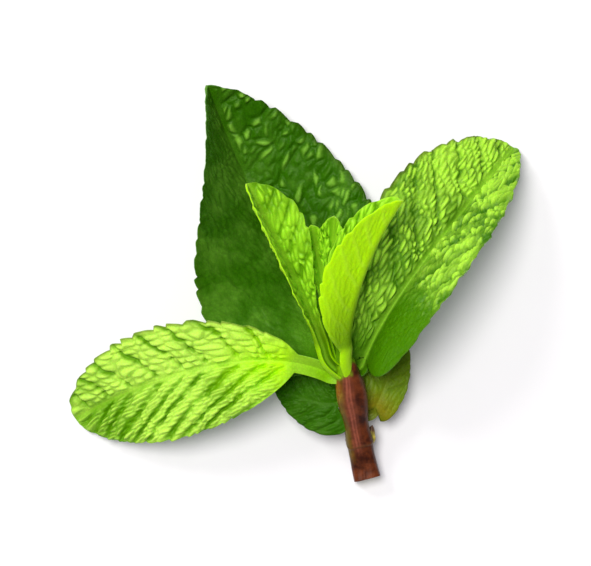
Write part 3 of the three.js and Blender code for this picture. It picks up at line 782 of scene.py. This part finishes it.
def make_leaf_colour_and_light():
    """Leaf colour: pillows with painted light, valleys with painted shade, veins in their colour and the
    margin with painted shade, with the under face paler.
    """
    grey = (0.5, 0.5, 0.5, 1.0)
    inputs = {name: grey for name in ("Lit Pillow", "Shaded Valley", "Rib", "Foot", "Edge", "Under", "Under Rib")}
    inputs.update({"Mottle": 0.1, "Vein Line": 0.1, "Roughness": 0.45})
    outputs = {"Colour": "NodeSocketColor", "Roughness": "NodeSocketFloat", "Height": "NodeSocketFloat"}
    group, given, result = new_group("leaf colour and painted light", inputs, outputs)
    given = given.outputs
    patches = noise(group, 170.0, 3.0, 0.6)
    grain = noise(group, 2400.0, 3.0, 0.6)
    cells = small_cells(group, 2100.0)
    areole = ranged(group, cells, 0.0, 0.25)
    pillow = mask_of(group, "pillow")
    vein = mask_of(group, "vein")
    rib = mask_of(group, "rib")

    # Painted light and shade: the pillow mask, broken by random patches, mixes the shaded valley colour with
    # the lit pillow colour.
    lightness = calculate(group, "ADD", pillow, ranged(group, patches, 0.3, 0.7, -0.18, 0.18))
    upper = mixed(group, ranged(group, lightness, 0.0, 1.0), given["Shaded Valley"], given["Lit Pillow"])
    upper = mixed(group, calculate(group, "MULTIPLY", vein, given["Vein Line"]), upper, given["Rib"])
    # On the green leaf the foot colour is painted shade on the base lobe.
    upper = mixed(group, mask_of(group, "foot"), upper, given["Foot"])
    upper = mixed(group, calculate(group, "MULTIPLY", rib, 0.8), upper, given["Rib"])
    # Painted shade on the grown leaves' teeth.
    upper = mixed(group, calculate(group, "MULTIPLY", mask_of(group, "edge"), 0.7), upper, given["Edge"])
    veined = calculate(group, "MAXIMUM", rib, calculate(group, "MULTIPLY", vein, 0.7))
    under = mixed(group, veined, given["Under"], given["Under Rib"])
    under = mixed(group, calculate(group, "MULTIPLY", mask_of(group, "foot"), 0.9), under, given["Foot"])
    both = mixed(group, mask_of(group, "under"), upper, under)
    darkest = calculate(group, "SUBTRACT", 1.0, given["Mottle"])
    brightest = calculate(group, "ADD", 1.0, calculate(group, "MULTIPLY", given["Mottle"], 0.6))
    speckle = weighed(group, grain, 0.7, areole, 0.3)
    value = ranged(group, speckle, 0.3, 0.8, darkest, brightest)
    shaded = add_node(group, "ShaderNodeHueSaturation", Color=both, Value=value)

    worn = ranged(group, patches, 0.3, 0.7, -0.06, 0.06)
    roughness = calculate(group, "ADD", given["Roughness"], worn)
    roughness = weighed(group, roughness, 1.0, mask_of(group, "under"), 0.12)
    set_input(group, result.inputs["Colour"], shaded.outputs["Color"])
    set_input(group, result.inputs["Roughness"], roughness)
    set_input(group, result.inputs["Height"], weighed(group, areole, 0.5, grain, 0.8))
    return group


def new_material(name):
    material = bpy.data.materials.new(name)
    material.use_nodes = True
    tree = material.node_tree
    return material, tree, tree.nodes["Principled BSDF"]


def with_bump(tree, shader, height, distance):
    """Adds a bump of that height, with the distance in metres."""
    node = add_node(tree, "ShaderNodeBump", Height=height, Distance=distance, Strength=1.0)
    set_input(tree, shader.inputs["Normal"], node.outputs["Normal"])


def leaf_material(name, tissue, colours, mottle=0.1, roughness=0.45, gloss=0.3):
    """A leaf's surface, soft and a little translucent, with a green-tinted gloss."""
    material, tree, shader = new_material(name)
    node = add_node(tree, "ShaderNodeGroup", {"node_tree": tissue})
    for key, value in colours.items():
        node.inputs[key].default_value = colour(*value)
    node.inputs["Mottle"].default_value = mottle
    node.inputs["Roughness"].default_value = roughness
    set_input(tree, shader.inputs["Base Color"], node.outputs["Colour"])
    set_input(tree, shader.inputs["Roughness"], node.outputs["Roughness"])
    with_bump(tree, shader, node.outputs["Height"], 0.000025)
    shader.inputs["Subsurface Weight"].default_value = 0.25
    shader.inputs["Subsurface Radius"].default_value = (0.4, 0.8, 0.1)
    shader.inputs["Subsurface Scale"].default_value = 0.0003
    shader.inputs["IOR"].default_value = 1.45
    shader.inputs["Specular IOR Level"].default_value = gloss
    shader.inputs["Specular Tint"].default_value = (0.8, 1.0, 0.5, 1.0)
    return material


def stem_material():
    """Maroon skin with a green edge, painted shade on its right side and a painted highlight near the top,
    yellow-orange leaf nodes, and a moist cut face.
    """
    material, tree, shader = new_material("maroon stem")
    grain = noise(tree, 1300.0, 4.0, 0.6)
    patches = noise(tree, 420.0, 3.0, 0.6)
    skin = mixed(tree, ranged(tree, patches, 0.3, 0.7), colour(44, 14, 6), colour(108, 50, 20))
    # Painted highlight on the upper face.
    skin = mixed(tree, mask_of(tree, "painted_highlight_streak"), skin, colour(154, 84, 64))
    skin = mixed(tree, mask_of(tree, "green"), skin, colour(110, 98, 28))
    # Painted shade on the right side.
    skin = mixed(tree, mask_of(tree, "grey"), skin, colour(84, 58, 30))
    orange = mixed(tree, ranged(tree, patches, 0.4, 0.6), colour(150, 70, 14), colour(190, 160, 50))
    skin = mixed(tree, mask_of(tree, "patch"), skin, orange)
    skin = mixed(tree, mask_of(tree, "node"), skin, colour(120, 172, 10))
    skin = mixed(tree, calculate(tree, "MULTIPLY", mask_of(tree, "scar"), 0.6), skin, colour(92, 58, 30))
    radial = mask_of(tree, "radial")
    moist = mixed(tree, ranged(tree, radial, 0.25, 0.7), colour(214, 196, 128), colour(150, 160, 62))
    moist = mixed(tree, ranged(tree, radial, 0.8, 0.98), moist, colour(122, 58, 24))
    skin = mixed(tree, mask_of(tree, "cut"), skin, moist)
    value = ranged(tree, grain, 0.3, 0.7, 0.8, 1.15)
    shaded = add_node(tree, "ShaderNodeHueSaturation", Color=skin, Value=value)
    set_input(tree, shader.inputs["Base Color"], shaded.outputs["Color"])
    set_input(tree, shader.inputs["Roughness"], ranged(tree, patches, 0.3, 0.7, 0.32, 0.5))
    with_bump(tree, shader, grain, 0.00006)
    shader.inputs["Subsurface Weight"].default_value = 0.12
    shader.inputs["Subsurface Radius"].default_value = (1.0, 0.5, 0.2)
    shader.inputs["Subsurface Scale"].default_value = 0.0005
    shader.inputs["Specular IOR Level"].default_value = 0.15
    return material


def side_bud_material():
    """Folded scales from green to straw colour, with a dried brown tip."""
    material, tree, shader = new_material("side bud")
    grain = noise(tree, 1800.0, 3.0, 0.6)
    scale = ranged(tree, mask_of(tree, "scale"), 0.94, 1.06)
    fresh = mixed(tree, scale, colour(120, 112, 30), colour(188, 170, 66))
    dried = mixed(tree, grain, colour(42, 20, 10), colour(98, 60, 30))
    both = mixed(tree, mask_of(tree, "dried"), fresh, dried)
    set_input(tree, shader.inputs["Base Color"], both)
    set_input(tree, shader.inputs["Roughness"], ranged(tree, grain, 0.3, 0.7, 0.45, 0.65))
    with_bump(tree, shader, grain, 0.00008)
    return material


def floor_material():
    """A pale table top that glows a little, as over a light box, which keeps the shadows pale."""
    material, tree, shader = new_material("pale table")
    grain = noise(tree, 90.0, 3.0, 0.5)
    pale = mixed(tree, ranged(tree, grain, 0.3, 0.7), (0.8, 0.795, 0.82, 1), (0.81, 0.805, 0.83, 1))
    set_input(tree, shader.inputs["Base Color"], pale)
    shader.inputs["Emission Color"].default_value = (0.94, 0.89, 1.0, 1.0)
    shader.inputs["Emission Strength"].default_value = 0.08
    set_input(tree, shader.inputs["Roughness"], ranged(tree, grain, 0.3, 0.7, 0.7, 0.8))
    shader.inputs["Specular IOR Level"].default_value = 0.1
    return material


def make_leaf_materials():
    tissue = make_leaf_colour_and_light()
    return {
        # Each leaf colour: the lit pillow colour is painted light, the shaded valley colour painted shade.
        "bright_leaf": leaf_material("bright leaf", tissue, {
            "Lit Pillow": (194, 240, 88), "Shaded Valley": (96, 156, 4), "Rib": (168, 226, 44), "Foot": (184, 246, 6),
            "Edge": (78, 92, 26), "Under": (150, 200, 90), "Under Rib": (190, 226, 130),
        }),
        # The green leaf's foot colour is painted shade on the right leaf's base lobe, which curves away from
        # the lamps.
        "green_leaf": leaf_material("green leaf", tissue, {
            "Lit Pillow": (178, 232, 66), "Shaded Valley": (54, 114, 0), "Rib": (150, 206, 50), "Foot": (72, 130, 0),
            "Edge": (70, 72, 20), "Under": (130, 180, 80), "Under Rib": (176, 212, 120),
        }),
        "dark_leaf": leaf_material("dark leaf", tissue, {
            "Lit Pillow": (122, 178, 54), "Shaded Valley": (44, 98, 0), "Rib": (66, 122, 2), "Foot": (80, 140, 2),
            "Edge": (44, 50, 10), "Under": (96, 146, 60), "Under Rib": (140, 180, 96),
        }, roughness=0.4, gloss=0.15),
        "olive_leaf": leaf_material("olive leaf", tissue, {
            "Lit Pillow": (108, 138, 12), "Shaded Valley": (78, 106, 2), "Rib": (130, 144, 24), "Foot": (136, 126, 12),
            "Edge": (96, 78, 24), "Under": (110, 140, 60), "Under Rib": (150, 170, 96),
        }),
        "young_leaf": leaf_material("young leaf", tissue, {
            "Lit Pillow": (168, 232, 40), "Shaded Valley": (92, 152, 2), "Rib": (170, 224, 50), "Foot": (98, 144, 0),
            "Edge": (190, 230, 90), "Under": (187, 250, 0), "Under Rib": (212, 250, 84),
        }, mottle=0.05),
    }


# ---------------------------------------------------------------- the pieces, the table, light and camera


def make_piece(name, mesh_parts, material, replaced=None):
    """A smooth piece from points in millimetres from the leaf node, faces, and each mask's values."""
    vertices, faces, values = mesh_parts
    mesh = bpy.data.meshes.new(name)
    mesh.from_pydata(((vertices + LEAF_NODE) * MM).tolist(), [], faces)
    for key, value in values.items():
        attribute = mesh.attributes.new(key, "FLOAT", "POINT")
        attribute.data.foreach_set("value", np.ascontiguousarray(value, np.float32))
    mesh.shade_smooth()
    mesh.materials.append(material)
    mesh.update()
    piece = bpy.data.objects.new(name, mesh)
    bpy.context.scene.collection.objects.link(piece)
    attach(piece, "root")
    if replaced:
        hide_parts(replaced)
    return piece


def make_sprig():
    materials = make_leaf_materials()
    slots = {part["node"]: part["material_slot"] for part in frame["record"]["subparts"]}
    for name, leaf in LEAVES.items():
        node = name if name in slots else "shoot_tip"
        replaced = None if name == "shoot_tip_right" else node
        slot = slots[node]
        make_piece(name + "_blade", leaf_mesh(leaf), materials[slot], replaced)
    make_piece("stem_skin", stem_mesh(), stem_material(), "stem")
    make_piece("side_bud", side_bud_mesh(), side_bud_material())


def make_table():
    """A wide round table top, level with the sprig's lowest points."""
    radius = 6.0
    corners = 96
    turns = np.linspace(0, 2 * math.pi, corners, endpoint=False)
    rim = [(radius * math.cos(turn), radius * math.sin(turn), 0.0) for turn in turns]
    mesh = bpy.data.meshes.new("table_top")
    mesh.from_pydata(rim, [], [list(range(corners))])
    mesh.materials.append(floor_material())
    table = bpy.data.objects.new("table_top", mesh)
    bpy.context.scene.collection.objects.link(table)


def make_lamp(name, height, width, strength):
    """A far lamp at the back left, seen from the sprig at a height and with a width in degrees."""
    lamp = bpy.data.lights.new(name, "SUN")
    lamp.angle = math.radians(width)
    lamp.energy = strength
    lamp.color = (1.0, 0.985, 0.95)
    holder = bpy.data.objects.new(name, lamp)
    holder.rotation_euler = (math.radians(90 - height), 0, math.radians(45 + 180))
    bpy.context.scene.collection.objects.link(holder)


def make_light():
    """A wide lamp high up, a weaker low one that brings out the relief, and an even pale surrounding."""
    make_lamp("key_lamp", height=74, width=27, strength=2.7)
    make_lamp("low_lamp", height=40, width=14, strength=0.75)

    world = bpy.data.worlds.new("pale room")
    world.use_nodes = True
    tree = world.node_tree
    seen = add_node(tree, "ShaderNodeLightPath").outputs["Is Camera Ray"]
    background = tree.nodes["Background"]
    room_light = 0.29
    seen_white = 1.1
    set_input(tree, background.inputs["Color"], (0.955, 0.94, 1.0, 1.0))
    set_input(tree, background.inputs["Strength"], ranged(tree, seen, 0.0, 1.0, room_light, seen_white))
    bpy.context.scene.world = world


def make_camera():
    """A long lens straight above the sprig, with +Y up in the picture."""
    camera = bpy.data.cameras.new("camera")
    camera.lens = 200
    camera.sensor_width = 36
    frame_width = 0.0855  # metres across the picture, at the sprig
    low, high = cad_bounds
    view = bpy.data.objects.new("camera", camera)
    distance = frame_width * camera.lens / camera.sensor_width
    view.location = ((low[0] + high[0]) / 2, (low[1] + high[1]) / 2, high[2] / 2 + distance)
    bpy.context.scene.collection.objects.link(view)
    bpy.context.scene.camera = view
    bpy.context.scene.view_settings.view_transform = "Standard"


make_camera()
make_sprig()
make_table()
make_light()
